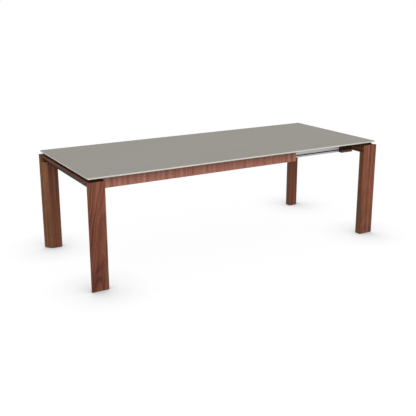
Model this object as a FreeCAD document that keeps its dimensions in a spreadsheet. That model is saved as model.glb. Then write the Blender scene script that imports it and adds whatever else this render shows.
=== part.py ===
import FreeCAD, Part
import os
import Sketcher

# Extending dining table: a glass top and a lift-out glass leaf over two slanted portal frames.
# The right-hand frame slides out on two telescopic aluminium rails.
# Millimetres. Origin on the floor under the middle of the extended table.
# +X points to the extending end, +Y to the back, +Z up.

SIZES = [
    ("table_length", 2400, "over the legs, extended"),
    ("table_width", 990, "over the legs"),
    ("table_height", 755, "floor to the top of the glass"),
    ("leaf_length", 600, "length of the leaf and travel of the end frame"),
    ("glass_thick", 10, "both panes"),
    ("glass_end_inset", 12, "glass end inside the outer end of the legs"),
    ("glass_side_inset", 5, "glass side inside the outer face of the legs"),
    ("glass_corner", 4, "radius of the four outer corners of the top"),
    ("glass_arris", 1, "ground edge round each pane"),
    ("seam_gap", 1, "between the main pane and the leaf"),
    ("board_thick", 10, "black carrier boards bonded under the glass"),
    ("board_inset", 48, "carrier board inside the edge of the glass"),
    ("board_seam_inset", 3, "carrier board inside the glass at the seam"),
    ("pad_thick", 8, "bumpers between the end beams and the boards"),
    ("pad_radius", 15, "bumpers"),
    ("corner_pad_setback", 25, "corner pads behind the outer face of the legs"),
    ("corner_pad_inset", 8, "corner pads inside the other faces of the legs"),
    ("leg_width", 122, "outer face of a leg, along the table"),
    ("leg_depth", 54, "leg, across the table"),
    ("leg_slant", 46, "how far the slanted facet of a leg runs in"),
    ("leg_cheek", 15, "part of the leg left standing outside the beam"),
    ("edge_ease", 1.2, "broken edge of the wooden pieces"),
    ("beam_height", 59, "end beam"),
    ("beam_land", 18, "upright outer face of the beam above its bevel"),
    ("glide_thick", 3, "floor glide under each leg"),
    ("glide_inset", 5, "glide inside the outline of the leg"),
    ("apron_setback", 30, "apron behind the outer face of the legs"),
    ("apron_thick", 20, "apron board"),
    ("apron_rise", 4.5, "lower edge of the apron above that of the beam"),
    ("apron_end_gap", 47, "apron to the sliding leg when the table is closed"),
    ("felt_thick", 2, "felt strip between apron and glass"),
    ("block_length", 40, "blocks that hold the apron to the rail"),
    ("block_height", 45, "same"),
    ("cross_width", 40, "cross members between the fixed rails"),
    ("cross_height", 30, "same"),
    ("rail_setback", 157, "outer face of the sliding rail behind that of the legs"),
    ("rail_width", 30, "sliding rail"),
    ("rail_height", 65, "sliding rail"),
    ("rail_wall", 3, "walls of both rails"),
    ("rail_lip", 18, "lips that close the open side of the fixed rail"),
    ("rail_overlap", 380, "sliding rail still held in the fixed rail when extended"),
    ("groove_start", 12, "groove of the sliding rail from its lower face"),
    ("groove_height", 9, "same"),
    ("groove_depth", 5, "same"),
    ("shoe_thick", 4, "nylon shoes between the rails"),
    ("shoe_length", 60, "same"),
    ("run_clearance", 0.3, "between pieces that slide past each other"),
    ("stop_length", 30, "end stop inside the fixed rail"),
    ("arm_length", 122, "arm that joins a sliding rail to the right-hand beam"),
    ("arm_mouth_gap", 6, "arm to the end of the fixed rail when the table is closed"),
    ("clamp_wall", 3, "black steel channel of the arm"),
    ("lip_thick", 14, "walnut lip along the arm"),
    ("lip_height", 20, "same"),
    ("lip_drop", 7, "walnut lip below the sliding rail"),
    ("lip_start", 11, "walnut lip behind the free end of the arm"),
    ("plate_thick", 4, "steel plates that are bolted to the end beams"),
    ("plate_width", 74, "same"),
    ("plate_margin", 10, "plate inside the height of the beam"),
    ("bolt_radius", 3, "bolts of the frames and plates"),
    ("bolt_head_radius", 6, "same"),
    ("bolt_head_height", 4, "same"),
    ("bolt_spacing", 20, "the two bolts of a plate"),
    ("plate_bolt_reach", 38, "plate bolts inside the middle of the rail"),
    ("bolt_bite", 40, "bolt in the second piece of wood"),
    ("bolt_clearance", 0.2, "bolt in its hole"),
    ("ledge_thick", 3, "steel ledges that carry the inner end of the leaf"),
    ("ledge_width", 90, "same"),
    ("ledge_centre", 235, "same, from the middle of the table"),
    ("ledge_hold", 48, "ledge under the main board"),
    ("ledge_reach", 44, "ledge under the leaf"),
    ("peg_radius", 4, "locating pegs on the ledges"),
    ("peg_height", 7, "same"),
    ("peg_setback", 24, "peg from the seam"),
    ("overrun", 5, "how far a cut passes the face that it opens"),
]

# Places along a piece, as shares of its length
BLOCK_SHARES = (0, 0.32, 0.62, 0.93)
CROSS_SHARES = (0.12, 0.50, 0.90)
PAD_SHARES = (-0.85, -0.28, 0.28, 0.85)
LEG_BOLT_SHARES = (0.30, 0.72)
HEXAGON_SIDES = 6

ENDS = (("left", -1), ("right", 1))
SIDES = (("front", -1), ("back", 1))

# Places that several pieces share, as expressions on the sheet
HALF_LENGTH = "Sizes.table_length / 2"
HALF_WIDTH = "Sizes.table_width / 2"
GLASS_UNDER = "(Sizes.table_height - Sizes.glass_thick)"
GLASS_END = f"({HALF_LENGTH} - Sizes.glass_end_inset)"
GLASS_SIDE = f"({HALF_WIDTH} - Sizes.glass_side_inset)"
SEAM = f"({GLASS_END} - Sizes.leaf_length)"
BOARD_UNDER = f"({GLASS_UNDER} - Sizes.board_thick)"
BOARD_END = f"({GLASS_END} - Sizes.board_inset)"
BOARD_SIDE = f"({GLASS_SIDE} - Sizes.board_inset)"
FRAME_TOP = f"({BOARD_UNDER} - Sizes.pad_thick)"
BEAM_UNDER = f"({FRAME_TOP} - Sizes.beam_height)"
FRAME_INNER = f"({HALF_LENGTH} - Sizes.leg_width)"
FACET = "(Sizes.leg_slant / Sizes.leg_depth)"
BEAM_OUTER = f"({FACET} * Sizes.leg_cheek)"

PLAY = "(Sizes.shoe_thick + Sizes.run_clearance)"
RAIL_TOP = f"({BOARD_UNDER} - Sizes.rail_wall - {PLAY})"
RAIL_UNDER = f"({RAIL_TOP} - Sizes.rail_height)"
RAIL_HALF = "(Sizes.rail_width / 2)"
RAIL_MID = f"({HALF_WIDTH} - Sizes.rail_setback - {RAIL_HALF})"
CHANNEL_HALF = f"({RAIL_HALF} + {PLAY} + Sizes.rail_wall)"
CHANNEL_START = f"(Sizes.plate_thick - {FRAME_INNER})"
ARM_START = f"({FRAME_INNER} - Sizes.arm_length)"
CHANNEL_END = f"({ARM_START} - Sizes.leaf_length - Sizes.arm_mouth_gap)"
CHANNEL_LENGTH = f"({CHANNEL_END} - {CHANNEL_START})"
RAIL_START = f"({CHANNEL_END} - Sizes.rail_overlap)"
RAIL_END = f"({FRAME_INNER} - Sizes.plate_thick)"
PLATE_UNDER = f"({BEAM_UNDER} + Sizes.plate_margin)"
PLATE_HEIGHT = "(Sizes.beam_height - 2 * Sizes.plate_margin)"

APRON_START = f"(0 - {FRAME_INNER})"
APRON_END = f"({FRAME_INNER} - Sizes.leaf_length - Sizes.apron_end_gap)"
APRON_OUTER = f"({HALF_WIDTH} - Sizes.apron_setback)"
APRON_INNER = f"({APRON_OUTER} - Sizes.apron_thick)"
APRON_UNDER = f"({BEAM_UNDER} + Sizes.apron_rise)"
APRON_TOP = f"({GLASS_UNDER} - Sizes.felt_thick)"

doc = FreeCAD.newDocument("extending_table")
sheet = doc.addObject("Spreadsheet::Sheet", "Sizes")
nodes = []


def fill_sheet():
    for row, (alias, value, meaning) in enumerate(SIZES, start=1):
        sheet.set(f"A{row}", str(value))
        sheet.setAlias(f"A{row}", alias)
        sheet.set(f"B{row}", meaning)
    doc.recompute()


def value(expression):
    return float(sheet.evalExpression(expression))


def place(piece, x="0", y="0", z="0"):
    for axis, expression in zip("xyz", (x, y, z)):
        piece.setExpression(f"Placement.Base.{axis}", expression)
    return piece


def node(piece, label):
    """Marks a finished piece as a sub-part with a file of its own."""
    piece.Label = label
    nodes.append(piece)
    return piece


# Building blocks


def outline(body, plane_role, *loops):
    """Sketch of closed polygons, each corner a pair of expressions in the sketch's own axes."""
    sketch = body.newObject("Sketcher::SketchObject", f"{body.Name}_outline")
    plane = next(feature for feature in body.Origin.OriginFeatures if feature.Role == plane_role)
    sketch.AttachmentSupport = [(plane, "")]
    sketch.MapMode = "FlatFace"
    for corners in loops:
        first = sketch.GeometryCount
        count = len(corners)
        points = [FreeCAD.Vector(value(x), value(y), 0) for x, y in corners]
        for i in range(count):
            sketch.addGeometry(Part.LineSegment(points[i], points[(i + 1) % count]), False)
        for i in range(count):
            sketch.addConstraint(Sketcher.Constraint("Coincident", first + i, 2, first + (i + 1) % count, 1))
        for i in range(count):
            for kind, axis, start in (("DistanceX", 0, points[i].x), ("DistanceY", 1, points[i].y)):
                index = sketch.addConstraint(Sketcher.Constraint(kind, -1, 1, first + i, 1, start))
                sketch.setExpression(f"Constraints[{index}]", corners[i][axis])
    return sketch


def rectangle(x_low, x_high, y_low, y_high):
    return [(x_low, y_low), (x_high, y_low), (x_high, y_high), (x_low, y_high)]


def new_body(name):
    return doc.addObject("PartDesign::Body", name)


def pad(body, sketch, length, symmetric=False):
    feature = body.newObject("PartDesign::Pad", f"{body.Name}_pad")
    feature.Profile = sketch
    feature.setExpression("Length", length)
    if symmetric:
        feature.SideType = "Symmetric"
    doc.recompute()
    return feature


def cut_through(body, sketch):
    before = body.Shape.Volume
    feature = body.newObject("PartDesign::Pocket", f"{body.Name}_cut")
    feature.Profile = sketch
    feature.Type = "ThroughAll"
    feature.SideType = "Symmetric"
    doc.recompute()
    if not body.Shape.Volume < before:
        raise RuntimeError(f"{body.Name}: the cut removed nothing")
    return feature


def dress(body, kind, size_name, size, wanted):
    """Fillet or chamfer of the edges that the test picks."""
    base = body.Tip
    edges = [f"Edge{i}" for i, edge in enumerate(base.Shape.Edges, start=1) if wanted(edge)]
    feature = body.newObject(f"PartDesign::{kind}", f"{body.Name}_{kind.lower()}")
    feature.Base = (base, edges)
    feature.setExpression(size_name, size)
    doc.recompute()
    return feature


def along(axis):
    """Test for straight edges that run along an axis."""
    return lambda edge: edge.Curve.TypeId == "Part::GeomLine" and abs(edge.Curve.Direction.dot(axis)) > 0.999


def ease_edges(body, axis):
    return dress(body, "Chamfer", "Size", "Sizes.edge_ease", along(axis))


def box(name, length, width, height):
    piece = doc.addObject("Part::Box", name)
    piece.setExpression("Length", length)
    piece.setExpression("Width", width)
    piece.setExpression("Height", height)
    return piece


def cylinder(name, radius, height, axis=FreeCAD.Vector(0, 0, 1)):
    piece = doc.addObject("Part::Cylinder", name)
    piece.setExpression("Radius", radius)
    piece.setExpression("Height", height)
    piece.Placement = FreeCAD.Placement(FreeCAD.Vector(), FreeCAD.Rotation(FreeCAD.Vector(0, 0, 1), axis))
    return piece


def hexagon(name, radius, height, axis):
    piece = doc.addObject("Part::Prism", name)
    piece.Polygon = HEXAGON_SIDES
    piece.setExpression("Circumradius", radius)
    piece.setExpression("Height", height)
    piece.Placement = FreeCAD.Placement(FreeCAD.Vector(), FreeCAD.Rotation(FreeCAD.Vector(0, 0, 1), axis))
    return piece


def compound(name, pieces):
    group = doc.addObject("Part::Compound", name)
    group.Links = pieces
    return group


def cut(name, base, tools):
    piece = doc.addObject("Part::Cut", name)
    piece.Base = base
    piece.Tool = compound(f"{name}_tools", tools)
    return piece


def joined(name, *pieces):
    piece = doc.addObject("Part::MultiFuse", name)
    piece.Shapes = list(pieces)
    return piece


def mirrored(side, centre, half):
    """Low end of a span that lies on one side of the table."""
    return f"({side} * {centre} - {half})"


# Bolts: a head and a shank along one axis, and the hole that takes them


def bolt(name, axis, seat, shank):
    """Hexagon bolt whose head sits on the seat point and whose shank runs back along the axis."""
    head = place(hexagon(f"{name}_head", "Sizes.bolt_head_radius", "Sizes.bolt_head_height", axis), *seat)
    body = place(cylinder(f"{name}_shank", "Sizes.bolt_radius", shank, axis * -1), *seat)
    return joined(name, head, body)


def bolt_hole(name, axis, seat, shank):
    radius = "Sizes.bolt_radius + Sizes.bolt_clearance"
    return place(cylinder(name, radius, f"{shank} + Sizes.bolt_clearance", axis * -1), *seat)


def head_recess(name, axis, seat):
    radius = "Sizes.bolt_head_radius + Sizes.bolt_clearance"
    return place(cylinder(name, radius, "Sizes.bolt_head_height + Sizes.overrun", axis), *seat)


UP = FreeCAD.Vector(0, 0, 1)
LEG_BOLT_SHANK = "(Sizes.beam_height - Sizes.bolt_head_height + Sizes.bolt_bite)"
PLATE_BOLT_SHANK = "(Sizes.plate_thick + Sizes.bolt_bite)"


def leg_bolt_seats(end, side):
    """Seats of the two upright bolts that hold a beam down on a leg."""
    seats = []
    for share in LEG_BOLT_SHARES:
        reach = f"(Sizes.leg_slant + {share} * (Sizes.leg_width - Sizes.leg_slant))"
        x = f"{end} * ({HALF_LENGTH} - {reach})"
        y = f"{side} * ({HALF_WIDTH} - (Sizes.leg_cheek + Sizes.leg_depth) / 2)"
        seats.append((x, y, f"{FRAME_TOP} - Sizes.bolt_head_height"))
    return seats


def plate_bolt_seats(end, side):
    """Seats of the two bolts, one above the other, that hold a rail plate on a beam."""
    x = f"{end} * ({FRAME_INNER} - Sizes.plate_thick)"
    y = f"{side} * ({RAIL_MID} - Sizes.plate_bolt_reach)"
    middle = f"{PLATE_UNDER} + {PLATE_HEIGHT} / 2"
    return [(x, y, f"{middle} + {way} * Sizes.bolt_spacing / 2") for way in (-1, 1)]


def inward(end):
    """From a beam towards the middle of the table, the way its plate bolts face."""
    return FreeCAD.Vector(-end, 0, 0)


# Portal frames: slanted legs, bevelled beam, glides, bumpers and bolts


def make_leg(end_name, end, side_name, side):
    name = f"leg_{side_name}_{end_name}"
    body = new_body(f"{name}_blank")
    section = [
        ("0", "0"),
        (f"{-end} * Sizes.leg_width", "0"),
        (f"{-end} * Sizes.leg_width", f"{-side} * Sizes.leg_depth"),
        (f"{-end} * Sizes.leg_slant", f"{-side} * Sizes.leg_depth"),
    ]
    length = f"({FRAME_TOP} - Sizes.glide_thick)"
    pad(body, outline(body, "XY_Plane", section), length)
    ease_edges(body, UP)
    housing = [
        (f"{-side} * Sizes.leg_cheek", f"{length} - Sizes.beam_height"),
        (f"{-side} * (Sizes.leg_depth + Sizes.overrun)", f"{length} - Sizes.beam_height"),
        (f"{-side} * (Sizes.leg_depth + Sizes.overrun)", f"{length} + Sizes.overrun"),
        (f"{-side} * Sizes.leg_cheek", f"{length} + Sizes.overrun"),
    ]
    cut_through(body, outline(body, "YZ_Plane", housing))
    place(body, f"{end} * {HALF_LENGTH}", f"{side} * {HALF_WIDTH}", "Sizes.glide_thick")
    seats = leg_bolt_seats(end, side)
    holes = [bolt_hole(f"{name}_hole_{i}", UP, seat, LEG_BOLT_SHANK) for i, seat in enumerate(seats)]
    node(cut(name, body, holes), name)


def make_beam(end_name, end):
    name = f"{end_name}_beam"
    body = new_body(f"{name}_blank")
    section = [
        (f"{-end} * {BEAM_OUTER}", "0"),
        (f"{-end} * Sizes.leg_width", "0"),
        (f"{-end} * Sizes.leg_width", "0 - Sizes.beam_height"),
        (f"{-end} * Sizes.leg_slant", "0 - Sizes.beam_height"),
        (f"{-end} * {BEAM_OUTER}", "0 - Sizes.beam_land"),
    ]
    length = "Sizes.table_width - 2 * Sizes.leg_cheek"
    pad(body, outline(body, "XZ_Plane", section), length, symmetric=True)
    ease_edges(body, FreeCAD.Vector(0, 1, 0))
    place(body, f"{end} * {HALF_LENGTH}", z=FRAME_TOP)
    holes = []
    for side_name, side in SIDES:
        for i, seat in enumerate(leg_bolt_seats(end, side)):
            holes.append(bolt_hole(f"{name}_{side_name}_leg_hole_{i}", UP, seat, LEG_BOLT_SHANK))
            holes.append(head_recess(f"{name}_{side_name}_recess_{i}", UP, seat))
        for i, seat in enumerate(plate_bolt_seats(end, side)):
            hole_name = f"{name}_{side_name}_plate_hole_{i}"
            holes.append(bolt_hole(hole_name, inward(end), seat, PLATE_BOLT_SHANK))
    node(cut(name, body, holes), name)


def drawn_leg(end, side, setback, inset):
    """Outline of a leg, drawn in from its outer face by one distance and from the other faces by another."""
    slant_draw = f"{inset} * sqrt(1 + {FACET} ^ 2)"
    far = f"(Sizes.leg_depth - {inset})"
    inner = f"{-end} * (Sizes.leg_width - {inset})"
    return [
        (f"{-end} * ({FACET} * {setback} + {slant_draw})", f"{-side} * {setback}"),
        (inner, f"{-side} * {setback}"),
        (inner, f"{-side} * {far}"),
        (f"{-end} * ({FACET} * {far} + {slant_draw})", f"{-side} * {far}"),
    ]


def make_glide(end_name, end, side_name, side):
    """Nylon floor glide, the outline of the leg drawn in all round."""
    body = new_body(f"{side_name}_{end_name}_glide")
    section = drawn_leg(end, side, "Sizes.glide_inset", "Sizes.glide_inset")
    pad(body, outline(body, "XY_Plane", section), "Sizes.glide_thick")
    place(body, f"{end} * {HALF_LENGTH}", f"{side} * {HALF_WIDTH}")
    node(body, f"{side_name}_{end_name}_glide")


def make_bumpers(end_name, end):
    """Rubber under the top: round bumpers on a beam for the board, and a pad on each leg for the glass.

    Those of the sliding frame pass just under the main board and the main pane.
    """
    clearance = "0" if end < 0 else "Sizes.run_clearance"
    bumpers = []
    for i, share in enumerate(PAD_SHARES):
        bumper = cylinder(f"{end_name}_bumper_{i}", "Sizes.pad_radius", f"Sizes.pad_thick - {clearance}")
        x = f"{end} * ({FRAME_INNER} + Sizes.leg_width / 2 - Sizes.pad_radius)"
        bumpers.append(place(bumper, x, f"{share} * {HALF_WIDTH}", FRAME_TOP))
    for side_name, side in SIDES:
        body = new_body(f"{end_name}_{side_name}_corner_pad")
        section = drawn_leg(end, side, "Sizes.corner_pad_setback", "Sizes.corner_pad_inset")
        pad(body, outline(body, "XY_Plane", section), f"{GLASS_UNDER} - {FRAME_TOP} - {clearance}")
        bumpers.append(place(body, f"{end} * {HALF_LENGTH}", f"{side} * {HALF_WIDTH}", FRAME_TOP))
    node(compound(f"{end_name}_bumpers", bumpers), f"{end_name}_bumpers")


def make_frame_bolts(end_name, end):
    leg_bolts = []
    plate_bolts = []
    for side_name, side in SIDES:
        for i, seat in enumerate(leg_bolt_seats(end, side)):
            leg_bolts.append(bolt(f"{end_name}_{side_name}_leg_bolt_{i}", UP, seat, LEG_BOLT_SHANK))
        for i, seat in enumerate(plate_bolt_seats(end, side)):
            bolt_name = f"{end_name}_{side_name}_plate_bolt_{i}"
            plate_bolts.append(bolt(bolt_name, inward(end), seat, PLATE_BOLT_SHANK))
    node(compound(f"{end_name}_leg_bolts", leg_bolts), f"{end_name}_leg_bolts")
    node(compound(f"{end_name}_plate_bolts", plate_bolts), f"{end_name}_plate_bolts")


# Top: two glass panes on black carrier boards, and the ledges that carry the loose leaf


def make_pane(name, x_low, x_high, outer_end):
    body = new_body(name)
    sketch = outline(body, "XY_Plane", rectangle(x_low, x_high, f"0 - {GLASS_SIDE}", GLASS_SIDE))
    pad(body, sketch, "Sizes.glass_thick")
    end_place = value(outer_end)
    upright = along(UP)

    def at_outer_corner(edge):
        return upright(edge) and abs(edge.CenterOfMass.x - end_place) < value("Sizes.glass_corner")

    dress(body, "Fillet", "Radius", "Sizes.glass_corner", at_outer_corner)
    mid = value("Sizes.glass_thick") / 2
    flat = value("Sizes.glass_arris") / 2

    def on_a_face(edge):
        return abs(abs(edge.CenterOfMass.z - mid) - mid) < flat

    dress(body, "Chamfer", "Size", "Sizes.glass_arris", on_a_face)
    node(place(body, z=GLASS_UNDER), name)


def make_top():
    make_pane("main_glass", f"0 - {GLASS_END}", f"{SEAM} - Sizes.seam_gap", f"0 - {GLASS_END}")
    make_pane("leaf_glass", SEAM, GLASS_END, GLASS_END)
    main_length = f"{BOARD_END} + {SEAM} - Sizes.seam_gap - Sizes.board_seam_inset"
    main_board = box("main_board", main_length, f"2 * {BOARD_SIDE}", "Sizes.board_thick")
    node(place(main_board, f"0 - {BOARD_END}", f"0 - {BOARD_SIDE}", BOARD_UNDER), "main_board")
    leaf_length = f"{BOARD_END} - {SEAM} - Sizes.board_seam_inset"
    leaf_blank = box("leaf_board_blank", leaf_length, f"2 * {BOARD_SIDE}", "Sizes.board_thick")
    place(leaf_blank, f"{SEAM} + Sizes.board_seam_inset", f"0 - {BOARD_SIDE}", BOARD_UNDER)
    holes = []
    pegs = []
    for side_name, side in SIDES:
        y = f"{side} * Sizes.ledge_centre"
        x = f"{SEAM} + Sizes.peg_setback"
        hole_radius = "Sizes.peg_radius + Sizes.run_clearance"
        hole = cylinder(f"{side_name}_peg_hole", hole_radius, "Sizes.peg_height + Sizes.overrun")
        holes.append(place(hole, x, y, f"{BOARD_UNDER} + Sizes.run_clearance - Sizes.overrun"))
        peg = cylinder(f"{side_name}_peg", "Sizes.peg_radius", "Sizes.peg_height")
        pegs.append(place(peg, x, y, BOARD_UNDER))
        ledge = box(f"{side_name}_leaf_ledge", "Sizes.ledge_hold + Sizes.ledge_reach", "Sizes.ledge_width",
                    "Sizes.ledge_thick")
        ledge_low = mirrored(side, "Sizes.ledge_centre", "Sizes.ledge_width / 2")
        place(ledge, f"{SEAM} - Sizes.ledge_hold", ledge_low, f"{BOARD_UNDER} - Sizes.ledge_thick")
        node(ledge, f"{side_name}_leaf_ledge")
    node(cut("leaf_board", leaf_blank, holes), "leaf_board")
    node(compound("leaf_pegs", pegs), "leaf_pegs")


# Aprons with their felt strips, and the blocks that hold them to the fixed rails


def make_apron(side_name, side):
    body = new_body(f"{side_name}_apron")
    section = rectangle(f"{side} * {APRON_INNER}", f"{side} * {APRON_OUTER}", APRON_UNDER, APRON_TOP)
    length = f"{APRON_END} - {APRON_START}"
    pad(body, outline(body, "YZ_Plane", section), length)
    ease_edges(body, FreeCAD.Vector(1, 0, 0))
    node(place(body, APRON_START), f"{side_name}_apron")
    felt_width = "(Sizes.apron_thick - 2 * Sizes.edge_ease)"
    felt = box(f"{side_name}_felt", length, felt_width, "Sizes.felt_thick")
    felt_low = mirrored(side, f"({APRON_OUTER} + {APRON_INNER}) / 2", f"{felt_width} / 2")
    node(place(felt, APRON_START, felt_low, APRON_TOP), f"{side_name}_felt")
    blocks = []
    reach = f"({APRON_INNER} - {RAIL_MID} - {CHANNEL_HALF})"
    centre = f"({APRON_INNER} - {reach} / 2)"
    past_bolts = "2 * Sizes.bolt_head_height"
    run = f"({CHANNEL_LENGTH} - {past_bolts} - Sizes.block_length)"
    for i, share in enumerate(BLOCK_SHARES):
        block = box(f"{side_name}_block_{i}", "Sizes.block_length", reach, "Sizes.block_height")
        x = f"{CHANNEL_START} + {past_bolts} + {share} * {run}"
        z = f"{BOARD_UNDER} - Sizes.block_height"
        blocks.append(place(block, x, mirrored(side, centre, f"{reach} / 2"), z))
    node(compound(f"{side_name}_apron_blocks", blocks), f"{side_name}_apron_blocks")


def make_cross_members():
    half = f"({RAIL_MID} - {CHANNEL_HALF})"
    for i, share in enumerate(CROSS_SHARES, start=1):
        name = f"cross_member_{i}"
        member = box(name, "Sizes.cross_width", f"2 * {half}", "Sizes.cross_height")
        x = f"{CHANNEL_START} + {share} * {CHANNEL_LENGTH} - Sizes.cross_width / 2"
        node(place(member, x, f"0 - {half}", f"{BOARD_UNDER} - Sizes.cross_height"), name)


# Telescopic rails: sections drawn from the middle and the lower face of the sliding rail


def channel_section(side):
    """Fixed rail: web on the outer side, open towards the middle between two lips."""
    outer = f"{side} * {CHANNEL_HALF}"
    web = f"{side} * ({CHANNEL_HALF} - Sizes.rail_wall)"
    lip_out = f"{-side} * {CHANNEL_HALF}"
    lip_in = f"{-side} * ({CHANNEL_HALF} - Sizes.rail_wall)"
    floor = f"(0 - {PLAY})"
    bottom = f"({floor} - Sizes.rail_wall)"
    ceiling = f"(Sizes.rail_height + {PLAY})"
    top = f"({ceiling} + Sizes.rail_wall)"
    return [
        (outer, bottom),
        (outer, top),
        (lip_out, top),
        (lip_out, f"{top} - Sizes.rail_lip"),
        (lip_in, f"{top} - Sizes.rail_lip"),
        (lip_in, ceiling),
        (web, ceiling),
        (web, floor),
        (lip_in, floor),
        (lip_in, f"{bottom} + Sizes.rail_lip"),
        (lip_out, f"{bottom} + Sizes.rail_lip"),
        (lip_out, bottom),
    ]


def rail_section(draw):
    """Sliding rail with two grooves on each flank, drawn in by a wall thickness for its hollow."""
    half = f"({RAIL_HALF} - {draw})"
    neck = f"({half} - Sizes.groove_depth)"
    start = f"(Sizes.groove_start - {draw})"
    end = f"(Sizes.groove_start + Sizes.groove_height + {draw})"
    heights = [draw, start, start, end, end]
    depths = [half, half, neck, neck, half]
    upper = [f"(Sizes.rail_height - {height})" for height in reversed(heights)]
    flank = list(zip(depths + depths[::-1], heights + upper))
    return flank + [(f"0 - {depth}", height) for depth, height in reversed(flank)]


def ring_section(inner, outer):
    """Nylon shoe round the rail, between two clearances from its faces."""
    loops = []
    for gap in (outer, inner):
        half = f"({RAIL_HALF} + {gap})"
        loops.append(rectangle(f"0 - {half}", half, f"0 - {gap}", f"Sizes.rail_height + {gap}"))
    return loops


def clamp_section(side):
    """Black steel channel that wraps the end of the sliding rail from the outer side."""
    back = f"{side} * ({RAIL_HALF} + Sizes.clamp_wall)"
    face = f"{side} * {RAIL_HALF}"
    edge = f"{-side} * {RAIL_HALF}"
    low = "(0 - Sizes.clamp_wall)"
    high = "(Sizes.rail_height + Sizes.clamp_wall)"
    return [
        (edge, low),
        (back, low),
        (back, high),
        (edge, high),
        (edge, "Sizes.rail_height"),
        (face, "Sizes.rail_height"),
        (face, "0"),
        (edge, "0"),
    ]


def extrusion(name, side, x, length, *loops):
    body = new_body(name)
    pad(body, outline(body, "YZ_Plane", *loops), length)
    return place(body, x, f"{side} * {RAIL_MID}", RAIL_UNDER)


def make_plate(name, end, side):
    """Steel plate on the inner face of a beam."""
    plate = box(f"{name}_plate", "Sizes.plate_thick", "Sizes.plate_width", PLATE_HEIGHT)
    x = f"{end} * ({FRAME_INNER} - Sizes.plate_thick / 2) - Sizes.plate_thick / 2"
    centre = f"({RAIL_MID} + {CHANNEL_HALF} - Sizes.plate_width / 2)"
    return place(plate, x, mirrored(side, centre, "Sizes.plate_width / 2"), PLATE_UNDER)


def plate_holes(name, end, side):
    holes = []
    for i, seat in enumerate(plate_bolt_seats(end, side)):
        holes.append(bolt_hole(f"{name}_hole_{i}", inward(end), seat, PLATE_BOLT_SHANK))
    return holes


def make_rails(side_name, side):
    fixed = extrusion(f"{side_name}_fixed_rail", side, CHANNEL_START, CHANNEL_LENGTH, channel_section(side))
    node(fixed, f"{side_name}_fixed_rail")
    rail_length = f"{RAIL_END} - {RAIL_START}"
    sections = (rail_section("0"), rail_section("Sizes.rail_wall"))
    sliding = extrusion(f"{side_name}_sliding_rail", side, RAIL_START, rail_length, *sections)
    node(sliding, f"{side_name}_sliding_rail")
    mouth = ring_section("Sizes.run_clearance", PLAY)
    mouth_start = f"{CHANNEL_END} - Sizes.shoe_length"
    shoe = extrusion(f"{side_name}_mouth_shoe", side, mouth_start, "Sizes.shoe_length", *mouth)
    node(shoe, f"{side_name}_mouth_shoe")
    tail = ring_section("0", "Sizes.shoe_thick")
    shoe = extrusion(f"{side_name}_tail_shoe", side, RAIL_START, "Sizes.shoe_length", *tail)
    node(shoe, f"{side_name}_tail_shoe")
    stop = box(f"{side_name}_rail_stop", "Sizes.stop_length", "Sizes.rail_width", "Sizes.shoe_thick")
    stop_start = f"{RAIL_START} + Sizes.shoe_length + Sizes.run_clearance"
    place(stop, stop_start, mirrored(side, RAIL_MID, RAIL_HALF), f"{RAIL_UNDER} - {PLAY}")
    node(stop, f"{side_name}_rail_stop")
    make_rail_ends(side_name, side)


def make_rail_ends(side_name, side):
    """Plate at the fixed end, and the arm with its clamp and walnut lip at the sliding end."""
    name = f"{side_name}_rail_bracket"
    node(cut(name, make_plate(name, -1, side), plate_holes(name, -1, side)), name)
    name = f"{side_name}_rail_clamp"
    wrap_length = "Sizes.arm_length - Sizes.plate_thick"
    wrap = extrusion(f"{name}_wrap", side, ARM_START, wrap_length, clamp_section(side))
    whole = joined(f"{name}_whole", wrap, make_plate(name, 1, side))
    node(cut(name, whole, plate_holes(name, 1, side)), name)
    lip_near = f"({RAIL_HALF} + Sizes.clamp_wall)"
    lip_low = "(0 - Sizes.lip_drop)"
    lip_face = rectangle(f"{side} * {lip_near}", f"{side} * ({lip_near} + Sizes.lip_thick)", lip_low,
                         f"{lip_low} + Sizes.lip_height")
    lip_from = f"{ARM_START} + Sizes.lip_start"
    lip = extrusion(f"{side_name}_arm_lip", side, lip_from, "Sizes.arm_length - Sizes.lip_start", lip_face)
    ease_edges(lip, FreeCAD.Vector(1, 0, 0))
    node(lip, f"{side_name}_arm_lip")


def build():
    fill_sheet()
    for end_name, end in ENDS:
        for side_name, side in SIDES:
            make_leg(end_name, end, side_name, side)
            make_glide(end_name, end, side_name, side)
        make_beam(end_name, end)
        make_bumpers(end_name, end)
        make_frame_bolts(end_name, end)
    make_top()
    make_cross_members()
    for side_name, side in SIDES:
        make_apron(side_name, side)
        make_rails(side_name, side)
    doc.recompute()


def check():
    for piece in doc.Objects:
        if {"Invalid", "Error"} & set(piece.State):
            raise RuntimeError(f"{piece.Label} failed: {piece.State}")
    for piece in nodes:
        if piece.Shape.isNull() or not piece.Shape.isValid() or not piece.Shape.Solids:
            raise RuntimeError(f"{piece.Label} has no valid solid")


def write():
    os.makedirs("parts", exist_ok=True)
    for piece in nodes:
        piece.Shape.exportStep(f"parts/{piece.Label}.step")
    print(f"{len(nodes)} pieces")


build()
check()
write()
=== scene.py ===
"""Looks of the extending glass table: finishes, small hardware, studio and camera."""
import math
from collections import namedtuple

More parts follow.
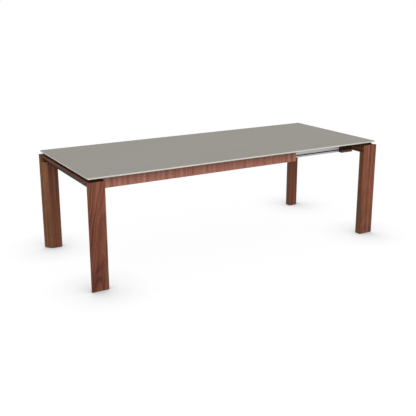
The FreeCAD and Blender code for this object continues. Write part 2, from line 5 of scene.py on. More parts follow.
import bmesh
import bpy
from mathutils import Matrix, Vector


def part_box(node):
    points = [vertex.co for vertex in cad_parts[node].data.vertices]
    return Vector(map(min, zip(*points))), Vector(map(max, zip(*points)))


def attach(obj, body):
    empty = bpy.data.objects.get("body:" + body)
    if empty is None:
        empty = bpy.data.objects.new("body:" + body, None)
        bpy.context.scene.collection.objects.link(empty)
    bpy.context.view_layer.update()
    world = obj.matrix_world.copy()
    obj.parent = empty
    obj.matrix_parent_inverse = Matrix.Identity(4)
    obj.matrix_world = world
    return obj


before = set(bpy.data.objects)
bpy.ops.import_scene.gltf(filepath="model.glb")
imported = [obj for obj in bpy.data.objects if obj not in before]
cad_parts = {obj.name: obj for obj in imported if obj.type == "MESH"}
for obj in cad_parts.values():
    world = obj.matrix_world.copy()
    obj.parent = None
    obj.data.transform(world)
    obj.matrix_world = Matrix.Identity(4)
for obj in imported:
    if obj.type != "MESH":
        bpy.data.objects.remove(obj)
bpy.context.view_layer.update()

SIDES = ("front", "back")
ENDS = ("left", "right")

# Camera, from a fit of the table's corners and edges to the photograph. The shift is there because the lean
# of the legs puts the optical axis above the middle of the picture.
CAMERA_PLACE = Vector((-2.57738, -4.32946, 1.78064))
CAMERA_LOOK = Vector((0.490955, 0.832373, -0.257135))
CAMERA_SENSOR_MM = 36.0
CAMERA_LENS_MM = 58.445
CAMERA_SHIFT = (-0.0063, -0.0545)

# Studio: the sky's strength at the horizon and its rise, the key lamp, then the floor: its glow, the part of
# its brightness that shadows take away, what it throws back on the table, and the reach of the contact
# shadows painted into its glow from ambient occlusion.
SKY_LOW = 0.34
SKY_RISE = 0.85
KEY_PLACE = Vector((-0.8, -5.0, 1.9))
KEY_TARGET = Vector((0.0, 0.0, 0.4))
KEY_WIDTH = 4.0
KEY_WATTS = 112.0
FLOOR_HALF = 14.0
FLOOR_GLOW = 0.965
FLOOR_SHADOWED = 0.04
FLOOR_BOUNCE = 0.18
PAINTED_CONTACT_SHADOW_REACH = 0.35
WHITE = (1.0, 1.0, 1.0, 1.0)

# Walnut: the middle and the span of its tones, its gloss and the beams' own, the heights between which a leg
# grows paler, the paler, yellower tint of the legs' left-hand faces, which is painted light, with the turn
# at which it starts, the darker tops in the same way, partly darker end grain and partly painted shade under
# the glass, its shades, and the climb of its rings.
MID_TONE = 0.48
WOOD_TONES = (0.3, 0.65)
WALNUT_GLOSS = 0.22
BEAM_GLOSS = 0.05
CROWN_SPAN = (0.42, 0.66)
LEFT_FACE_LIGHT_TURN = (-0.6, -0.3)
LEFT_FACE_PAINTED_LIGHT = (1.06, 1.24, 1.12)
TOP_GRAIN_AND_SHADE_TURN = (0.6, 0.9)
END_GRAIN_AND_PAINTED_SHADE = (0.35, 0.27, 0.30)
WALNUT_SHADES = (
    (0.37, (0.070, 0.0205, 0.0125)),
    (0.45, (0.150, 0.0480, 0.0275)),
    (0.53, (0.240, 0.0840, 0.0480)),
    (0.61, (0.360, 0.1450, 0.0850)),
)
WALNUT_RED = (1.06, 0.85, 0.82)
WALNUT_PORE = (0.045, 0.016, 0.010)
RING_SLOPE = 0.032

# Walnut's patterns: repeats a metre across and along the grain, and of its rings, then their shares in the
# tone, the spans of noise where redness and pores show with how strongly, and the depth of its relief.
SWAY_SCALE = (6.0, 1.7)
STREAK_SCALE = (62.0, 1.1)
FIBRE_SCALE = (330.0, 6.0)
PATCH_SCALE = (13.0, 2.2)
PORE_SCALE = (900.0, 26.0)
RED_SCALE = (9.0, 1.4)
BROAD_RINGS = 100.0
FINE_RINGS = 430.0
FIGURE_SHARE = 0.60
LINE_SHARE = 0.10
FIBRE_SHARE = 0.14
PATCH_SHARE = 0.16
RED_SPAN = (0.35, 0.65, 0.0, 0.4)
PORE_SPAN = (0.60, 0.70, 0.0, 0.5)
WALNUT_RELIEF = 0.00025

# Painted shade under the beams, near-black on their downward faces: the turn of the surface at which it
# starts, its cover and colour, and how soon it fades out where the legs house the beams.
UNDERSIDE_SHADE_TURN = (-0.45, -0.20)
UNDERSIDE_SHADE_COVER = 0.95
UNDERSIDE_SHADE_COLOUR = (0.006, 0.004, 0.003)
UNDERSIDE_SHADE_FADE = 0.008

# Apron: how far past its edges the veneer's upward darkening runs, which is painted shade for the shadow
# under the glass's overhang, the tints at both ends, its shades, then the stripes: how far they stray, how
# many there are in a metre, and the depth of the relief.
APRON_SHADE_MARGIN = 0.005
APRON_UNSHADED_TINT = (1.0, 0.98, 0.92)
APRON_PAINTED_SHADE = (0.60, 0.60, 0.62)
APRON_SHADES = (
    (0.21, (0.195, 0.0690, 0.0500)),
    (0.41, (0.346, 0.1375, 0.0985)),
    (0.57, (0.448, 0.1920, 0.1390)),
    (0.79, (0.576, 0.2740, 0.1980)),
)
STRIPE_STRAY = 0.015
WIDE_STRIPES = 36.0
FINE_STRIPES = 260.0
APRON_RELIEF = 0.00012

# Glass: colours of its face and polished edge, each with the shares of it at two spots on a ramp of noise,
# the turn of the surface from edge to face, how near the seam of the two panes the edge is dull and how
# much, its gloss, and the depth of its relief.
GLASS_FACE = (0.281, 0.267, 0.2345)
GLASS_EDGE = (0.76, 0.74, 0.665)
FACE_SHARES = ((0.35, 0.965), (0.65, 1.035))
EDGE_SHARES = ((0.35, 0.90), (0.65, 1.06))
FACE_TURN = (0.55, 0.95)
SEAM_NEAR = (0.004, 0.008)
SEAM_DULL = 0.8
GLASS_GLOSS = 0.05
GLASS_RELIEF = 0.00004

# The other materials: the span of noise that their roughness follows, and their shades, each with its place
# on a ramp of tones.
NOISE_SPAN = (0.3, 0.7)
BOARD_SHADES = ((0.35, (0.005, 0.005, 0.005)), (0.65, (0.014, 0.013, 0.012)))
BEECH_SHADES = ((0.32, (0.36, 0.22, 0.115)), (0.5, (0.49, 0.32, 0.18)), (0.7, (0.58, 0.41, 0.25)))
BEECH_FLECK = (0.25, 0.135, 0.065)
# Aluminium's shades are darker than bare metal: painted shade, as the rails lie in shade under the top.
ALUMINIUM_SHADES = ((0.3, (0.34, 0.34, 0.345)), (0.7, (0.50, 0.50, 0.51)))
COAT_SHADES = ((0.4, (0.022, 0.014, 0.009)), (0.68, (0.062, 0.041, 0.028)))
ZINC_SHADES = ((0.3, (0.50, 0.50, 0.48)), (0.7, (0.74, 0.73, 0.70)))
NYLON_SHADES = ((0.34, (0.030, 0.030, 0.032)), (0.66, (0.060, 0.060, 0.062)))
RUBBER_SHADES = ((0.34, (0.012, 0.005, 0.003)), (0.66, (0.028, 0.013, 0.008)))
FELT_SHADES = ((0.34, (0.018, 0.017, 0.016)), (0.66, (0.060, 0.057, 0.053)))

# Liners in the grooves of the sliding rails, dark strips that are partly a slide insert and partly painted
# shade in the grooves; in metres from the rail's flank and lower face.
GROOVE_STARTS = (0.012, 0.044)
GROOVE_HEIGHT = 0.009
GROOVE_DEPTH = 0.005
LINER_FIT = 0.00005
LINER_WALL = 0.0008
LINER_INSET = 0.002

# Button-head screws: radius and drop below the seat of each ring of the head, the hexagon socket, and then
# where the screws sit under the cross members, leaf ledges and apron blocks.
SCREW_RINGS = ((0.0050, 0.0), (0.0050, 0.0005), (0.0046, 0.0013), (0.0037, 0.00195), (0.0029, 0.0022))
SCREW_SIDES = 24
SOCKET_SIDES = 6
SOCKET_FLAT = 0.0017
SOCKET_DEPTH = 0.0014
MEMBER_SCREW_Y = (-0.16, 0.16)
LEDGE_SCREW_INSET = 0.020
LEDGE_SCREW_SPREAD = 0.026
BLOCK_HALF = 0.020
BLOCK_SHARES = (0.0, 0.344, 0.667, 1.0)


class Finish:
    """One procedural material, with short calls for its nodes."""

    def __init__(self, name, **shader_values):
        self.material = bpy.data.materials.new(name)
        self.material.use_nodes = True
        self.nodes = self.material.node_tree.nodes
        self.links = self.material.node_tree.links
        self.nodes.clear()
        self.shader = self.nodes.new("ShaderNodeBsdfPrincipled")
        output = self.nodes.new("ShaderNodeOutputMaterial")
        self.links.new(self.shader.outputs["BSDF"], output.inputs["Surface"])
        for socket, value in shader_values.items():
            self.put(socket, value)
        self.coordinates = self.nodes.new("ShaderNodeTexCoord")
        split = self.nodes.new("ShaderNodeSeparateXYZ")
        self.links.new(self.coordinates.outputs["Object"], split.inputs[0])
        self.x, self.y, self.z = split.outputs

    def fill(self, socket, value):
        """Links a socket to another, or gives it a plain value."""
        if isinstance(value, bpy.types.NodeSocket):
            self.links.new(value, socket)
        else:
            socket.default_value = value

    def put(self, socket, value):
        """Sets one of the shader's sockets; its spaces are written as underscores."""
        self.fill(self.shader.inputs[socket.replace("_", " ")], value)

    def maths(self, operation, *terms):
        made = self.nodes.new("ShaderNodeMath")
        made.operation = operation
        for socket, term in zip(made.inputs, terms):
            self.fill(socket, term)
        return made.outputs[0]

    def weighted(self, *pairs):
        """Sum of factors, each times its weight."""
        total = 0.0
        for factor, weight in pairs:
            total = self.maths("MULTIPLY_ADD", factor, weight, total)
        return total

    def stretched(self, x, y, z, scales):
        """A place whose three directions are scaled apart, so that a pattern runs along one of them."""
        made = self.nodes.new("ShaderNodeCombineXYZ")
        for socket, term, scale in zip(made.inputs, (x, y, z), scales):
            self.fill(socket, self.maths("MULTIPLY", term, scale))
        return made.outputs[0]

    def normal(self):
        """The three parts of the direction that the surface faces."""
        split = self.nodes.new("ShaderNodeSeparateXYZ")
        self.fill(split.inputs[0], self.coordinates.outputs["Normal"])
        return split.outputs

    def noise(self, place, detail=2.0, roughness=0.5):
        made = self.nodes.new("ShaderNodeTexNoise")
        self.fill(made.inputs["Vector"], place)
        made.inputs["Scale"].default_value = 1.0
        made.inputs["Detail"].default_value = detail
        made.inputs["Roughness"].default_value = roughness
        return made.outputs["Fac"]

    def speckle(self, *scales, **look):
        """Noise in the part's own three directions, with one scale for each or for all."""
        apart = scales if len(scales) == 3 else scales * 3
        return self.noise(self.stretched(self.x, self.y, self.z, apart), **look)

    def bands(self, distance, detail=2.0, roughness=0.5):
        """Uneven bands along one distance."""
        made = self.nodes.new("ShaderNodeTexNoise")
        made.noise_dimensions = "1D"
        self.fill(made.inputs["W"], distance)
        made.inputs["Scale"].default_value = 1.0
        made.inputs["Detail"].default_value = detail
        made.inputs["Roughness"].default_value = roughness
        return made.outputs["Fac"]

    def fade(self, factor, low, high, start=0.0, end=1.0):
        made = self.nodes.new("ShaderNodeMapRange")
        made.interpolation_type = "SMOOTHSTEP"
        for socket, term in zip(made.inputs, (factor, low, high, start, end)):
            self.fill(socket, term)
        return made.outputs[0]

    def ramp(self, factor, *stops):
        made = self.nodes.new("ShaderNodeValToRGB")
        self.fill(made.inputs[0], factor)
        points = made.color_ramp.elements
        while len(points) < len(stops):
            points.new(1.0)
        for point, (position, colour) in zip(points, stops):
            point.position = position
            point.color = (*colour, 1.0)
        return made.outputs["Color"]

    def mix(self, factor, first, second, blend="MIX"):
        made = self.nodes.new("ShaderNodeMix")
        made.data_type = "RGBA"
        made.blend_type = blend
        made.clamp_factor = True
        self.fill(made.inputs["Factor"], factor)
        for socket, colour in ((made.inputs[6], first), (made.inputs[7], second)):
            self.fill(socket, (*colour, 1.0) if isinstance(colour, tuple) else colour)
        return made.outputs[2]

    def bump(self, height, distance):
        made = self.nodes.new("ShaderNodeBump")
        made.inputs["Distance"].default_value = distance
        self.fill(made.inputs["Height"], height)
        self.put("Normal", made.outputs[0])


# One piece cut from the log: the heart line of its rings, a place along the log, its tint, how strong the
# figure is, how far the rings wander and the share of broad rings among the streaks. Some also grow paler
# towards the top, have grain that leans, or painted shade on their downward faces.
Cut = namedtuple(
    "Cut", "heart seed tint contrast wander rings crown lean stained", defaults=(0.0, 0.0, False)
)


def tinted(colour, tint):
    return tuple(part * share for part, share in zip(colour, tint))


def shaded(colour, shares):
    """Stops of a ramp that holds shares of one colour."""
    return [(spot, tinted(colour, (share,) * 3)) for spot, share in shares]


def walnut(name, grain, cut):
    """Lacquered walnut whose rings run round a heart line along the grain and open into long arches."""
    wood = Finish(name, Specular_IOR_Level=BEAM_GLOSS if cut.stained else WALNUT_GLOSS)
    axes = {"X": (wood.y, wood.z, wood.x), "Y": (wood.x, wood.z, wood.y), "Z": (wood.x, wood.y, wood.z)}
    across, deep, length = axes[grain]
    across = wood.maths("MULTIPLY_ADD", length, cut.lean, across)
    length = wood.maths("ADD", length, cut.seed)

    def along(crosswise, lengthwise, **look):
        return wood.noise(wood.stretched(across, deep, length, (crosswise, crosswise, lengthwise)), **look)

    sway = wood.maths("MULTIPLY", wood.maths("SUBTRACT", along(*SWAY_SCALE), 0.5), cut.wander)
    from_heart = [wood.maths("SUBTRACT", term, centre) for term, centre in zip((across, deep), cut.heart)]
    squares = [wood.maths("MULTIPLY", term, term) for term in from_heart]
    radius = wood.maths("SQRT", wood.maths("ADD", *squares))
    ring = wood.maths("MULTIPLY_ADD", length, RING_SLOPE, wood.maths("ADD", radius, sway))
    broad = wood.bands(wood.maths("MULTIPLY", ring, BROAD_RINGS), detail=3.0, roughness=0.6)
    lines = wood.bands(wood.maths("MULTIPLY", ring, FINE_RINGS), detail=1.0)
    streak = along(*STREAK_SCALE, roughness=0.55)
    fibre = along(*FIBRE_SCALE, detail=3.0, roughness=0.6)
    patch = along(*PATCH_SCALE)
    pores = along(*PORE_SCALE, detail=1.0)
    figure = ((broad, FIGURE_SHARE * cut.rings), (streak, FIGURE_SHARE * (1.0 - cut.rings)))
    tone = wood.weighted(*figure, (lines, LINE_SHARE), (fibre, FIBRE_SHARE), (patch, PATCH_SHARE))
    tone = wood.maths("MULTIPLY_ADD", tone, cut.contrast, MID_TONE * (1.0 - cut.contrast))
    if cut.crown:
        tone = wood.maths("ADD", tone, wood.fade(wood.z, *CROWN_SPAN, 0.0, cut.crown))
    colour = wood.ramp(tone, *((spot, tinted(shade, cut.tint)) for spot, shade in WALNUT_SHADES))
    redness = wood.fade(along(*RED_SCALE, detail=1.0), *RED_SPAN)
    colour = wood.mix(redness, colour, WALNUT_RED, "MULTIPLY")
    dark_pores = wood.fade(pores, *PORE_SPAN)
    colour = wood.mix(dark_pores, colour, WALNUT_PORE)
    if grain == "Z":
        turn = wood.normal()
        # Painted light: the left-hand faces of the legs are paler and yellower.
        colour = wood.mix(wood.fade(turn[0], *LEFT_FACE_LIGHT_TURN, 1.0, 0.0), colour, LEFT_FACE_PAINTED_LIGHT, "MULTIPLY")
        # The tops are darker, partly as end grain and partly as painted shade under the glass.
        colour = wood.mix(wood.fade(turn[2], *TOP_GRAIN_AND_SHADE_TURN, 0.0, 1.0), colour, END_GRAIN_AND_PAINTED_SHADE, "MULTIPLY")
    if cut.stained:
        # Painted shade: the downward faces of the beams turn near-black, except where the legs house them.
        painted_underside_shade = wood.fade(wood.normal()[2], *UNDERSIDE_SHADE_TURN, UNDERSIDE_SHADE_COVER, 0.0)
        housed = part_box("leg_back_left")[0].y
        from_middle = wood.maths("ABSOLUTE", wood.y)
        open_run = wood.fade(from_middle, housed - UNDERSIDE_SHADE_FADE, housed + UNDERSIDE_SHADE_FADE, 1.0, 0.0)
        painted_underside_shade = wood.maths("MULTIPLY", painted_underside_shade, open_run)
        colour = wood.mix(painted_underside_shade, colour, UNDERSIDE_SHADE_COLOUR)
    wood.put("Base_Color", colour)
    wood.put("Roughness", wood.fade(tone, *WOOD_TONES, 0.56, 0.44))
    wood.bump(wood.weighted((fibre, 0.5), (dark_pores, -0.8)), WALNUT_RELIEF)
    return wood.material


def apron_veneer():
    """Reddish veneer laid with its figure upright, in narrow uneven stripes."""
    wood = Finish("apron_veneer_striped", Specular_IOR_Level=WALNUT_GLOSS)
    lean = wood.speckle(5.0, 5.0, 9.0)
    place = wood.maths("MULTIPLY_ADD", lean, STRIPE_STRAY, wood.x)
    wide = wood.bands(wood.maths("MULTIPLY", place, WIDE_STRIPES))
    fine = wood.bands(wood.maths("MULTIPLY", place, FINE_STRIPES))
    fibre = wood.speckle(700.0, 700.0, 12.0)
    patch = wood.speckle(2.2, detail=1.0)
    tone = wood.weighted((wide, 0.66), (fine, 0.10), (fibre, 0.10), (patch, 0.14))
    # Painted shade: the veneer darkens towards its top, for the shadow under the glass's overhang.
    low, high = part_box("front_apron")
    rise = wood.fade(wood.z, low.z - APRON_SHADE_MARGIN, high.z + APRON_SHADE_MARGIN)
    shade = wood.ramp(rise, (0.0, APRON_UNSHADED_TINT), (1.0, APRON_PAINTED_SHADE))
    wood.put("Base_Color", wood.mix(1.0, wood.ramp(tone, *APRON_SHADES), shade, "MULTIPLY"))
    wood.put("Roughness", wood.fade(tone, *WOOD_TONES, 0.55, 0.45))
    wood.bump(fibre, APRON_RELIEF)
    return wood.material


def satin_glass():
    """Glass painted grey behind a satin face, with polished pale edges."""
    glass = Finish("grey_glass_satin", Specular_IOR_Level=GLASS_GLOSS)
    normal = glass.normal()
    facing = glass.fade(glass.maths("ABSOLUTE", normal[2]), *FACE_TURN)
    seam_place = (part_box("main_glass")[1].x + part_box("leaf_glass")[0].x) / 2.0
    from_seam = glass.maths("ABSOLUTE", glass.maths("SUBTRACT", glass.x, seam_place))
    along_seam = glass.maths("SUBTRACT", 1.0, glass.maths("ABSOLUTE", normal[1]))
    seam = glass.maths("MULTIPLY", along_seam, glass.fade(from_seam, *SEAM_NEAR, SEAM_DULL, 0.0))
    facing = glass.maths("MAXIMUM", facing, seam)
    cloud = glass.speckle(1.6, detail=3.0)
    grain = glass.speckle(1500.0, detail=1.0)
    face = glass.ramp(glass.weighted((cloud, 0.6), (grain, 0.4)), *shaded(GLASS_FACE, FACE_SHARES))
    ripple = glass.speckle(3.0, 3.0, 120.0, detail=1.0)
    edge = glass.ramp(ripple, *shaded(GLASS_EDGE, EDGE_SHARES))
    glass.put("Base_Color", glass.mix(facing, edge, face))
    glass.put("Roughness", glass.weighted((facing, 0.36), (grain, 0.10), (cloud, 0.06)))
    glass.bump(glass.maths("MULTIPLY", grain, facing), GLASS_RELIEF)
    return glass.material


def black_board():
    """Black laminate with a fine leathery tooth."""
    board = Finish("black_board_laminate", Specular_IOR_Level=0.1)
    tooth = board.speckle(900.0)
    cloud = board.speckle(12.0)
    mixed = board.weighted((tooth, 0.6), (cloud, 0.4))
    board.put("Base_Color", board.ramp(mixed, *BOARD_SHADES))
    board.put("Roughness", board.fade(tooth, *NOISE_SPAN, 0.5, 0.66))
    board.bump(tooth, 0.0002)
    return board.material


def beech():
    """Pale bare beech with its short brown flecks."""
    wood = Finish("beech_bare", Specular_IOR_Level=0.3)
    fibre = wood.speckle(260.0, 9.0, 260.0, detail=3.0, roughness=0.6)
    flecks = wood.speckle(620.0, 110.0, 620.0, detail=1.0)
    tone = wood.ramp(fibre, *BEECH_SHADES)
    marks = wood.fade(flecks, 0.60, 0.70, 0.0, 0.6)
    wood.put("Base_Color", wood.mix(marks, tone, BEECH_FLECK))
    wood.put("Roughness", wood.fade(fibre, *NOISE_SPAN, 0.68, 0.56))
    wood.bump(wood.weighted((fibre, 0.6), (marks, -0.4)), 0.0002)
    return wood.material


def brushed_aluminium():
    """Extruded, silver anodised aluminium, drawn along X."""
    metal = Finish("aluminium_drawn", Metallic=1.0, Anisotropic=0.4)
    streak = metal.speckle(1.2, 1100.0, 1100.0, detail=3.0, roughness=0.6)
    cloud = metal.speckle(5.0, 40.0, 40.0)
    tone = metal.weighted((streak, 0.7), (cloud, 0.3))
    # Painted shade: the rails' colour is darker than bare aluminium.
    metal.put("Base_Color", metal.ramp(tone, *ALUMINIUM_SHADES))
    metal.put("Roughness", metal.fade(tone, *NOISE_SPAN, 0.42, 0.28))
    metal.bump(streak, 0.00006)
    return metal.material


def coated_steel():
    """Black powder coat with a fine orange-peel."""
    coat = Finish("black_steel_coated", Specular_IOR_Level=0.05)
    peel = coat.speckle(520.0)
    dust = coat.speckle(2600.0, detail=1.0)
    coat.put("Base_Color", coat.ramp(dust, *COAT_SHADES))
    coat.put("Roughness", coat.fade(peel, *NOISE_SPAN, 0.36, 0.52))
    coat.bump(peel, 0.00025)
    return coat.material


def zinc_steel(name):
    """Zinc-plated steel, faintly mottled, with turning marks."""
    metal = Finish(name, Metallic=1.0)
    mottle = metal.speckle(260.0, detail=3.0)
    turned = metal.speckle(300.0, 300.0, 4200.0, detail=1.0)
    metal.put("Base_Color", metal.ramp(mottle, *ZINC_SHADES))
    metal.put("Roughness", metal.fade(mottle, *NOISE_SPAN, 0.38, 0.24))
    metal.bump(turned, 0.00005)
    return metal.material


def moulded(name, shades, rough, tooth_scale, depth, gloss=0.35):
    """Moulded plastic, rubber or pressed felt: mottled colour over a fine even tooth."""
    body = Finish(name, Specular_IOR_Level=gloss)
    tooth = body.speckle(tooth_scale, detail=3.0, roughness=0.65)
    cloud = body.speckle(45.0)
    tone = body.weighted((tooth, 0.55), (cloud, 0.45))
    body.put("Base_Color", body.ramp(tone, *shades))
    body.put("Roughness", body.fade(tooth, *NOISE_SPAN, rough - 0.08, rough + 0.08))
    body.bump(tooth, depth)
    return body.material


def add_piece(name, points, faces, material, body):
    """One mesh-built piece that moves with a body."""
    mesh = bpy.data.meshes.new(name)
    mesh.from_pydata(points, [], faces)
    shell = bmesh.new()
    shell.from_mesh(mesh)
    bmesh.ops.recalc_face_normals(shell, faces=shell.faces)
    shell.to_mesh(mesh)
    shell.free()
    mesh.materials.append(material)
    piece = bpy.data.objects.new(name, mesh)
    bpy.context.scene.collection.objects.link(piece)
    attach(piece, body)


def joined_rings(rings, first):
    """Faces between rings of equally many points and over both ends, numbered from the first point."""
    count = len(rings[0])
    faces = []
    for start in range(first, first + count * (len(rings) - 1), count):
        for i in range(count):
            near, far = start + i, start + (i + 1) % count
            faces.append((near, far, far + count, near + count))
    last = first + count * (len(rings) - 1)
    faces.append(tuple(range(first + count - 1, first - 1, -1)))
    faces.append(tuple(range(last, last + count)))
    return faces


def liner_profile():
    """Channel-shaped section of a groove liner: depth into the groove and height above its lower face."""
    deep, high = GROOVE_DEPTH - LINER_FIT, GROOVE_HEIGHT - LINER_FIT
    inner_deep, inner_low, inner_high = deep - LINER_WALL, LINER_FIT + LINER_WALL, high - LINER_WALL
    return (
        (0.0, LINER_FIT),
        (deep, LINER_FIT),
        (deep, high),
        (0.0, high),
        (0.0, inner_high),
        (inner_deep, inner_high),
        (inner_deep, inner_low),
        (0.0, inner_low),
    )


def make_liners(material):
    """Dark nylon liners in the four grooves of each rail, partly a slide insert and partly painted shade."""
    for side in SIDES:
        low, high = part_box(side + "_sliding_rail")
        points, faces = [], []
        for flank, inward in ((low.y, 1.0), (high.y, -1.0)):
            for start in GROOVE_STARTS:
                section = [(flank + inward * depth, low.z + start + up) for depth, up in liner_profile()]
                ends = (low.x + LINER_INSET, high.x - LINER_INSET)
                rings = [[(x, y, z) for y, z in section] for x in ends]
                faces += joined_rings(rings, len(points))
                points += [point for ring in rings for point in ring]
        add_piece(side + "_groove_shade_liners", points, faces, material, "end_frame")


def screw_rings(seat):
    """Rings of one screw head that hangs from its seat, from the rim to the floor of its socket."""
    turns = [2.0 * math.pi * i / SCREW_SIDES for i in range(SCREW_SIDES)]
    sector = 2.0 * math.pi / SOCKET_SIDES
    rings = [[(radius, turn, drop) for turn in turns] for radius, drop in SCREW_RINGS]
    tip = SCREW_RINGS[-1][1]
    for drop in (tip, tip - SOCKET_DEPTH):
        rings.append([(SOCKET_FLAT / math.cos(turn % sector - sector / 2.0), turn, drop) for turn in turns])
    return [
        [(seat.x + r * math.cos(t), seat.y + r * math.sin(t), seat.z - drop) for r, t, drop in ring]
        for ring in rings
    ]


def add_screws(name, seats, material):
    points, faces = [], []
    for seat in seats:
        rings = screw_rings(seat)
        faces += joined_rings(rings, len(points))
        points += [point for ring in rings for point in ring]
    add_piece(name, points, faces, material, "fixed_frame")


def make_screws(material):
    """Button-head screws under the cross members, leaf ledges and apron blocks."""
    seats = []
    for i in (1, 2, 3):
        low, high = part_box(f"cross_member_{i}")
        seats += [Vector(((low.x + high.x) / 2.0, y, low.z)) for y in MEMBER_SCREW_Y]
    add_screws("member_screws", seats, material)
    for side in SIDES:
        low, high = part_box(side + "_leaf_ledge")
        middle = (low.y + high.y) / 2.0
        places = (middle - LEDGE_SCREW_SPREAD, middle + LEDGE_SCREW_SPREAD)
        seats = [Vector((low.x + LEDGE_SCREW_INSET, y, low.z)) for y in places]
        add_screws(side + "_ledge_screws", seats, material)
        low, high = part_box(side + "_apron_blocks")
        run = high.x - low.x - 2.0 * BLOCK_HALF
        middle = (low.y + high.y) / 2.0
        seats = [Vector((low.x + BLOCK_HALF + share * run, middle, low.z)) for share in BLOCK_SHARES]
        add_screws(side + "_block_screws", seats, material)


def dress(nodes, material):
    """Gives CAD nodes one finish over their whole surface."""
    for name in nodes:
        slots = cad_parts[name].data.materials
        slots.clear()
        slots.append(material)


LEG_CUTS = {
    "leg_front_left": Cut(
        (-1.152, -0.380), 21.67, (0.845, 0.785, 0.73), 1.20, 0.050, 0.55, crown=0.045, lean=-0.10
    ),
    "leg_back_left": Cut((-2.300, -0.600), 7.15, (1.20, 1.28, 1.16), 0.70, 0.020, 0.30, crown=0.010),
    "leg_front_right": Cut((1.120, -1.300), 8.24, (1.10, 1.11, 0.98), 0.85, 0.010, 0.20),
    "leg_back_right": Cut((0.300, -0.200), 16.74, (1.16, 1.16, 1.08), 0.70, 0.020, 0.25),
}
BEAM_CUTS = (
    # The left beam's darker tint is painted shade, standing in for the shadow under the glass's edge.
    Cut((-1.900, 0.300), -1.900, (0.68, 0.60, 0.43), 0.80, 0.035, 0.57, stained=True),
    Cut((1.900, 0.250), 1.900, (1.05, 1.18, 1.08), 0.80, 0.035, 0.57, stained=True),
)
LIP_CUTS = (
    Cut((-0.315, 0.440), -0.315, (1.35, 1.42, 1.38), 0.70, 0.035, 0.57),
    Cut((0.330, 0.400), 0.330, (1.35, 1.42, 1.38), 0.70, 0.035, 0.57),
)


def dress_wood():
    """Walnut, cut from different places in the log for each leg, beam and arm lip."""
    for name, cut in LEG_CUTS.items():
        dress([name], walnut("walnut_" + name, "Z", cut))
    for end, cut in zip(ENDS, BEAM_CUTS):
        dress([end + "_beam"], walnut("walnut_" + end + "_beam", "Y", cut))
    for side, cut in zip(SIDES, LIP_CUTS):
        dress([side + "_arm_lip"], walnut("walnut_" + side + "_arm_lip", "X", cut))
    dress([side + "_apron" for side in SIDES], apron_veneer())


def dress_rest():
    """Finishes of glass, boards, metal and small parts."""
    dress(["main_glass", "leaf_glass"], satin_glass())
    dress(["main_board", "leaf_board"], black_board())
    blocks = [side + "_apron_blocks" for side in SIDES]
    dress(blocks + ["cross_member_1", "cross_member_2", "cross_member_3"], beech())
    rails = [side + kind for side in SIDES for kind in ("_fixed_rail", "_sliding_rail")]
    dress(rails, brushed_aluminium())
    black = ("_rail_stop", "_rail_bracket", "_rail_clamp", "_leaf_ledge")
    dress([side + kind for side in SIDES for kind in black], coated_steel())
    bolts = [end + kind for end in ENDS for kind in ("_leg_bolts", "_plate_bolts")]
    dress(bolts + ["leaf_pegs"], zinc_steel("steel_zinc_plated"))
    nylon = moulded("nylon_moulded", NYLON_SHADES, rough=0.50, tooth_scale=700.0, depth=0.00008)
    dress([side + kind for side in SIDES for kind in ("_mouth_shoe", "_tail_shoe")], nylon)
    dress([side + "_" + end + "_glide" for side in SIDES for end in ENDS], nylon)
    make_liners(nylon)
    make_screws(zinc_steel("steel_screw_heads"))
    rubber = moulded("rubber_moulded", RUBBER_SHADES, rough=0.85, tooth_scale=420.0, depth=0.0002, gloss=0.1)
    dress([end + "_bumpers" for end in ENDS], rubber)
    felt = moulded("felt_pressed", FELT_SHADES, rough=0.92, tooth_scale=1900.0, depth=0.0006)
    dress([side + "_felt" for side in SIDES], felt)


def light_path_share(nodes, links):
    """One for rays from the camera, a mirror or glass, and zero for the light that falls on things."""
    path = nodes.new("ShaderNodeLightPath")
    total = None
    for ray in ("Is Camera Ray", "Is Glossy Ray", "Is Transmission Ray"):
        if total is None:
            total = path.outputs[ray]
            continue
        most = nodes.new("ShaderNodeMath")
        most.operation = "MAXIMUM"
        links.new(total, most.inputs[0])
        links.new(path.outputs[ray], most.inputs[1])
        total = most.outputs[0]
    return total


def make_world():
    world = bpy.data.worlds.new("studio")
    bpy.context.scene.world = world
    world.use_nodes = True
    nodes, links = world.node_tree.nodes, world.node_tree.links
    nodes.clear()
    mixer = nodes.new("ShaderNodeMixShader")
    links.new(light_path_share(nodes, links), mixer.inputs[0])
    sky, seen = (nodes.new("ShaderNodeBackground") for _ in range(2))
    for background, socket in ((sky, mixer.inputs[1]), (seen, mixer.inputs[2])):
        background.inputs["Color"].default_value = WHITE
        background.inputs["Strength"].default_value = 1.0
        links.new(background.outputs[0], socket)
    direction = nodes.new("ShaderNodeSeparateXYZ")
    links.new(nodes.new("ShaderNodeTexCoord").outputs["Generated"], direction.inputs[0])
    height = nodes.new("ShaderNodeMath")
    height.operation = "MAXIMUM"
    links.new(direction.outputs[2], height.inputs[0])
    height.inputs[1].default_value = 0.0
    strength = nodes.new("ShaderNodeMath")
    strength.operation = "MULTIPLY_ADD"
    links.new(height.outputs[0], strength.inputs[0])
    strength.inputs[1].default_value = SKY_RISE
    strength.inputs[2].default_value = SKY_LOW
    links.new(strength.outputs[0], sky.inputs["Strength"])
    output = nodes.new("ShaderNodeOutputWorld")
    links.new(mixer.outputs[0], output.inputs["Surface"])


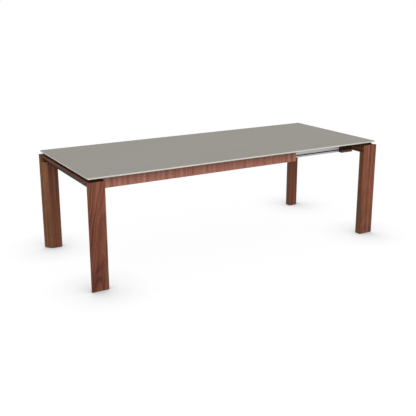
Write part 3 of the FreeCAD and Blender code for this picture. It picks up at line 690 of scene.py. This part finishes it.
def floor_finish():
    """White where it is seen, with contact shadows painted into its glow and a faint real shadow, and pale
    where it only throws light back.
    """
    material = bpy.data.materials.new("studio_floor")
    material.use_nodes = True
    nodes, links = material.node_tree.nodes, material.node_tree.links
    nodes.clear()

    def diffuse(level):
        made = nodes.new("ShaderNodeBsdfDiffuse")
        made.inputs["Color"].default_value = (level, level, level, 1.0)
        return made.outputs[0]

    # Painted shadow: ambient occlusion darkens the floor's glow near the legs, as contact shadows.
    painted_contact_shadow = nodes.new("ShaderNodeAmbientOcclusion")
    painted_contact_shadow.samples = 8
    painted_contact_shadow.inputs["Distance"].default_value = PAINTED_CONTACT_SHADOW_REACH
    glow = nodes.new("ShaderNodeEmission")
    glow.inputs["Strength"].default_value = FLOOR_GLOW
    links.new(painted_contact_shadow.outputs["Color"], glow.inputs["Color"])
    seen = nodes.new("ShaderNodeAddShader")
    links.new(glow.outputs[0], seen.inputs[0])
    links.new(diffuse(FLOOR_SHADOWED), seen.inputs[1])
    mixer = nodes.new("ShaderNodeMixShader")
    links.new(light_path_share(nodes, links), mixer.inputs[0])
    links.new(diffuse(FLOOR_BOUNCE), mixer.inputs[1])
    links.new(seen.outputs[0], mixer.inputs[2])
    open_below = nodes.new("ShaderNodeMixShader")
    links.new(nodes.new("ShaderNodeNewGeometry").outputs["Backfacing"], open_below.inputs[0])
    links.new(mixer.outputs[0], open_below.inputs[1])
    links.new(nodes.new("ShaderNodeBsdfTransparent").outputs[0], open_below.inputs[2])
    output = nodes.new("ShaderNodeOutputMaterial")
    links.new(open_below.outputs[0], output.inputs["Surface"])
    return material


def make_floor():
    mesh = bpy.data.meshes.new("studio_floor")
    corners = [(x * FLOOR_HALF, y * FLOOR_HALF, 0.0) for x, y in ((-1, -1), (1, -1), (1, 1), (-1, 1))]
    mesh.from_pydata(corners, [], [(0, 1, 2, 3)])
    floor = bpy.data.objects.new("studio_floor", mesh)
    bpy.context.scene.collection.objects.link(floor)
    mesh.materials.append(floor_finish())


def make_lamp(name, place, target, width, watts):
    data = bpy.data.lights.new(name, "AREA")
    data.size = width
    data.energy = watts
    lamp = bpy.data.objects.new(name, data)
    lamp.location = place
    lamp.rotation_euler = (target - place).to_track_quat("-Z", "Y").to_euler()
    bpy.context.scene.collection.objects.link(lamp)


def make_camera():
    data = bpy.data.cameras.new("photo_camera")
    data.sensor_width = CAMERA_SENSOR_MM
    data.lens = CAMERA_LENS_MM
    data.shift_x, data.shift_y = CAMERA_SHIFT
    camera = bpy.data.objects.new("photo_camera", data)
    camera.location = CAMERA_PLACE
    camera.rotation_euler = CAMERA_LOOK.to_track_quat("-Z", "Y").to_euler()
    bpy.context.scene.collection.objects.link(camera)
    bpy.context.scene.camera = camera


make_camera()
make_world()
make_floor()
make_lamp("key_light", KEY_PLACE, KEY_TARGET, KEY_WIDTH, KEY_WATTS)
dress_wood()
dress_rest()
bpy.context.scene.view_settings.view_transform = "Standard"
